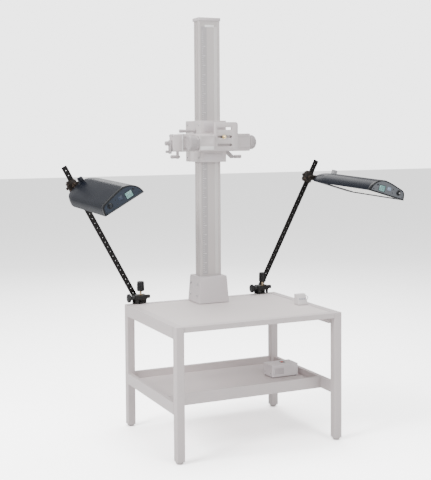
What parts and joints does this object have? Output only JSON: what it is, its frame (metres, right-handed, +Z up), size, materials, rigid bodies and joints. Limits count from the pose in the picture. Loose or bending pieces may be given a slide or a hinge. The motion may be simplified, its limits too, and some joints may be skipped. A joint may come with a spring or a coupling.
{
  "type": "copy stand with copy lights",
  "caption": "Copy stand: tubular table with shelf, column with crank-driven camera carriage and slotted camera plate, and hooded lights on perforated swing arms.",
  "frame": {"origin": "on the floor under the middle of the whole object's footprint box", "axes": "+Z up along the column, -Y towards the operator, +X to the operator's right"},
  "size_m": [1.6516, 0.7624, 2.165],
  "materials": {
    "frame_paint": "smooth pale warm-grey enamel",
    "casting_paint": "aluminium casting or extrusion with a pale grey enamel",
    "board_paint": "board with a pale grey satin laminate",
    "grey_plastic": "matte grey moulding",
    "glide_plastic": "grey moulded glide",
    "red_plastic": "glossy red rocker",
    "knob_grey": "grey knob plastic",
    "rack_steel": "machined steel",
    "screw_brass": "plain brass",
    "arm_black": "black oxide steel",
    "lamp_shell": "satin charcoal lamp shell",
    "lamp_end": "satin slate end cap",
    "lamp_white": "white translucent plastic"
  },
  "bodies": {
    "stand": {"clamp_body_left": "arm_black", "clamp_body_right": "arm_black", "column": "casting_paint", "column_cap": "grey_plastic", "column_foot": "casting_paint", "control_box": "grey_plastic", "glide_back_left": "glide_plastic", "glide_back_right": "glide_plastic", "glide_front_left": "glide_plastic", "glide_front_right": "glide_plastic", "hand_control": "grey_plastic", "leg_back_left": "frame_paint", "leg_back_right": "frame_paint", "leg_front_left": "frame_paint", "leg_front_right": "frame_paint", "low_rail_back": "frame_paint", "low_rail_left": "frame_paint", "low_rail_right": "frame_paint", "rack": "rack_steel", "shelf_board": "board_paint", "shelf_front": "frame_paint", "table_board": "board_paint", "top_rail_back": "frame_paint", "top_rail_front": "frame_paint", "top_rail_left": "frame_paint", "top_rail_right": "frame_paint"},
    "rocker": {"power_rocker": "red_plastic"},
    "carriage": {"carriage_front": "casting_paint", "carriage_rear": "casting_paint", "cross_beam": "casting_paint"},
    "height_crank": {"height_crank": "knob_grey"},
    "lock_lever": {"lock_lever": "knob_grey"},
    "cross_crank": {"cross_crank": "knob_grey"},
    "cross_knob": {"cross_knob": "knob_grey"},
    "camera_slide": {"camera_block": "casting_paint"},
    "focus_knob": {"focus_knob": "knob_grey"},
    "camera_plate": {"camera_plate": "casting_paint"},
    "camera_screw": {"camera_screw": "screw_brass"},
    "clamp_screw_left": {"clamp_screw_left": "arm_black"},
    "arm_left": {"arm_left": "arm_black"},
    "slider_left": {"slider_left": "arm_black"},
    "clamp_knob_left": {"clamp_knob_left": "arm_black"},
    "link_left": {"link_left": "arm_black"},
    "light_left": {"housing_left": "lamp_shell", "front_cap_left": "lamp_end", "diffuser_left": "lamp_white", "tube_left": "lamp_white"},
    "dimmer_left": {"dimmer_knob_left": "knob_grey"},
    "mode_key_left": {"mode_key_left": "knob_grey"},
    "clamp_screw_right": {"clamp_screw_right": "arm_black"},
    "arm_right": {"arm_right": "arm_black"},
    "slider_right": {"slider_right": "arm_black"},
    "clamp_knob_right": {"clamp_knob_right": "arm_black"},
    "link_right": {"link_right": "arm_black"},
    "light_right": {"housing_right": "lamp_shell", "front_cap_right": "lamp_end", "diffuser_right": "lamp_white", "tube_right": "lamp_white"},
    "dimmer_right": {"dimmer_knob_right": "knob_grey"},
    "mode_key_right": {"mode_key_right": "knob_grey"}
  },
  "joints": [
    {"name": "rocker_tilt", "type": "hinge", "parent": "stand", "child": "rocker", "pos_m": [0.29594, 0.04275, 0.315], "axis": [1, 0, 0], "range_deg": [-5, 5]},
    {"name": "carriage_lift", "type": "slide", "parent": "stand", "child": "carriage", "axis": [0, 0, 1], "range_m": [-0.55, 0.48]},
    {"name": "height_crank_turn", "type": "hinge", "parent": "carriage", "child": "height_crank", "pos_m": [-0.05006, 0.29075, 1.5], "axis": [1, 0, 0], "range_deg": [-2110, 1840]},
    {"name": "lock_turn", "type": "hinge", "parent": "carriage", "child": "lock_lever", "pos_m": [-0.12006, 0.21875, 1.566], "axis": [1, 0, 0], "range_deg": [-170, 60]},
    {"name": "cross_slide", "type": "slide", "parent": "carriage", "child": "camera_slide", "axis": [1, 0, 0], "range_m": [-0.04, 0.06]},
    {"name": "cross_crank_turn", "type": "hinge", "parent": "carriage", "child": "cross_crank", "pos_m": [-0.30106, 0.12375, 1.503], "axis": [1, 0, 0], "range_deg": [-725, 1085]},
    {"name": "cross_knob_turn", "type": "hinge", "parent": "carriage", "child": "cross_knob", "pos_m": [0.15494, 0.12375, 1.505], "axis": [1, 0, 0], "range_deg": [-180, 180]},
    {"name": "focus_slide", "type": "slide", "parent": "camera_slide", "child": "camera_plate", "axis": [0, 0, 1], "range_m": [-0.01, 0.01]},
    {"name": "focus_turn", "type": "hinge", "parent": "camera_slide", "child": "focus_knob", "pos_m": [-0.21506, 0.05475, 1.504], "axis": [1, 0, 0], "range_deg": [-115, 115]},
    {"name": "screw_slide", "type": "slide", "parent": "camera_plate", "child": "camera_screw", "axis": [1, 0, 0], "range_m": [-0.032, 0.042]},
    {"name": "clamp_screw_turn_left", "type": "hinge", "parent": "stand", "child": "clamp_screw_left", "pos_m": [-0.40806, 0.31675, 0.7], "axis": [0, 0, 1], "range_deg": [-180, 180]},
    {"name": "arm_lean_left", "type": "hinge", "parent": "stand", "child": "arm_left", "pos_m": [-0.41966, 0.36625, 0.677], "axis": [0, 1, 0], "range_deg": [-25, 15]},
    {"name": "slider_travel_left", "type": "slide", "parent": "arm_left", "child": "slider_left", "axis": [-0.4772, 0, 0.8788], "range_m": [-0.25, 0.075]},
    {"name": "clamp_knob_turn_left", "type": "hinge", "parent": "stand", "child": "clamp_knob_left", "pos_m": [-0.45806, 0.31675, 0.683], "axis": [1, 0, 0], "range_deg": [-180, 180]},
    {"name": "link_swing_left", "type": "hinge", "parent": "slider_left", "child": "link_left", "pos_m": [-0.75224, 0.36625, 1.28954], "axis": [0, 1, 0], "range_deg": [-30, 30]},
    {"name": "light_tilt_left", "type": "hinge", "parent": "link_left", "child": "light_left", "pos_m": [-0.70976, 0.32375, 1.2987], "axis": [0, 1, 0], "range_deg": [-45, 45]},
    {"name": "dimmer_turn_left", "type": "hinge", "parent": "light_left", "child": "dimmer_left", "pos_m": [-0.78401, -0.31557, 1.22104], "axis": [-0.0173, 0.9994, 0.0303], "range_deg": [-135, 135]},
    {"name": "mode_key_press_left", "type": "slide", "parent": "light_left", "child": "mode_key_left", "axis": [-0.0173, 0.9994, 0.0303], "range_m": [0, 0.002], "stiffness_N_per_m": 150, "springref_m": -0.001},
    {"name": "clamp_screw_turn_right", "type": "hinge", "parent": "stand", "child": "clamp_screw_right", "pos_m": [0.32094, 0.31675, 0.7], "axis": [0, 0, 1], "range_deg": [-180, 180]},
    {"name": "arm_lean_right", "type": "hinge", "parent": "stand", "child": "arm_right", "pos_m": [0.32854, 0.36625, 0.677], "axis": [0, 1, 0], "range_deg": [-15, 25]},
    {"name": "slider_travel_right", "type": "slide", "parent": "arm_right", "child": "slider_right", "axis": [0.4633, 0, 0.8862], "range_m": [-0.25, 0.075]},
    {"name": "clamp_knob_turn_right", "type": "hinge", "parent": "stand", "child": "clamp_knob_right", "pos_m": [0.27094, 0.31675, 0.683], "axis": [1, 0, 0], "range_deg": [-180, 180]},
    {"name": "link_swing_right", "type": "hinge", "parent": "slider_right", "child": "link_right", "pos_m": [0.65145, 0.36625, 1.29468], "axis": [0, 1, 0], "range_deg": [-30, 30]},
    {"name": "light_tilt_right", "type": "hinge", "parent": "link_right", "child": "light_right", "pos_m": [0.69614, 0.32375, 1.2914], "axis": [0, 1, 0], "range_deg": [-45, 45]},
    {"name": "dimmer_turn_right", "type": "hinge", "parent": "light_right", "child": "dimmer_right", "pos_m": [0.78621, -0.33057, 1.23256], "axis": [0.0099, 0.9994, 0.0335], "range_deg": [-135, 135]},
    {"name": "mode_key_press_right", "type": "slide", "parent": "light_right", "child": "mode_key_right", "axis": [0.0099, 0.9994, 0.0335], "range_m": [0, 0.002], "stiffness_N_per_m": 150, "springref_m": -0.001}
  ],
  "couplings": [
    {"joint": "height_crank_turn", "follows": "carriage_lift", "rad_per_m": 66.667},
    {"joint": "cross_crank_turn", "follows": "cross_slide", "rad_per_m": 314.16},
    {"joint": "focus_turn", "follows": "focus_slide", "rad_per_m": 200}
  ]
}
